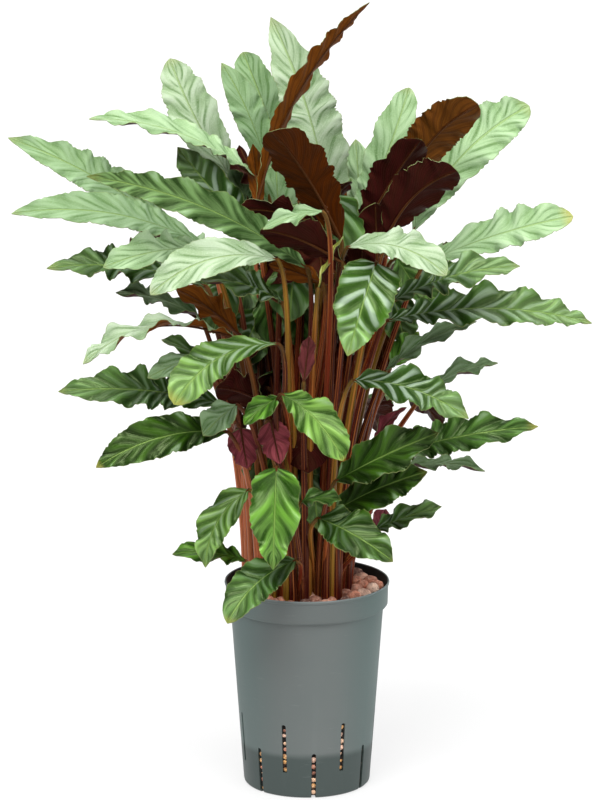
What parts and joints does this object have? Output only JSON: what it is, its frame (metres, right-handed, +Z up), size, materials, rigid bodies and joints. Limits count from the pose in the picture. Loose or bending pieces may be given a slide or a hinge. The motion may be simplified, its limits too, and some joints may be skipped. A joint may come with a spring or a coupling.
{
  "type": "potted wavestar velvet calathea",
  "caption": "Bushy calathea house plant with long wavy velvety leaves on red stalks, standing in a tall tapered slotted pot filled with clay granules.",
  "frame": {"origin": "centre of the pot's flat underside, on the surface it stands on", "axes": "+Z up along the pot's axis, -Y towards the viewer of the picture, +X to their right"},
  "size_m": [0.5186, 0.3527, 0.7164],
  "materials": {
    "pot": "fine matt grey-green plastic",
    "clay": "rough fired clay",
    "leaf": "velvety green leaf, burgundy underneath",
    "stalk": "satin burgundy stalk"
  },
  "bodies": {
    "root": {"pot": "pot", "clay_granules": "clay", "leaf_01": "leaf", "leaf_02": "leaf", "leaf_03": "leaf", "leaf_04": "leaf", "leaf_05": "leaf", "leaf_06": "leaf", "leaf_07": "leaf", "leaf_08": "leaf", "leaf_09": "leaf", "leaf_10": "leaf", "leaf_11": "leaf", "leaf_12": "leaf", "leaf_13": "leaf", "leaf_14": "leaf", "leaf_15": "leaf", "leaf_16": "leaf", "leaf_17": "leaf", "leaf_18": "leaf", "leaf_19": "leaf", "leaf_20": "leaf", "leaf_21": "leaf", "leaf_22": "leaf", "leaf_23": "leaf", "leaf_24": "leaf", "leaf_25": "leaf", "leaf_26": "leaf", "leaf_27": "leaf", "leaf_28": "leaf", "leaf_29": "leaf", "leaf_30": "leaf", "leaf_31": "leaf", "leaf_32": "leaf", "leaf_33": "leaf", "leaf_34": "leaf", "leaf_35": "leaf", "leaf_36": "leaf", "leaf_37": "leaf", "leaf_38": "leaf", "leaf_39": "leaf", "leaf_40": "leaf", "leaf_41": "leaf", "leaf_42": "leaf", "leaf_43": "leaf", "leaf_44": "leaf", "leaf_45": "leaf", "leaf_46": "leaf", "leaf_47": "leaf", "leaf_48": "leaf", "leaf_49": "leaf", "shoot_1": "stalk", "shoot_2": "stalk", "shoot_3": "stalk", "shoot_4": "stalk", "shoot_5": "stalk", "shoot_6": "stalk", "shoot_7": "stalk", "shoot_8": "stalk", "shoot_9": "stalk"}
  },
  "joints": []
}
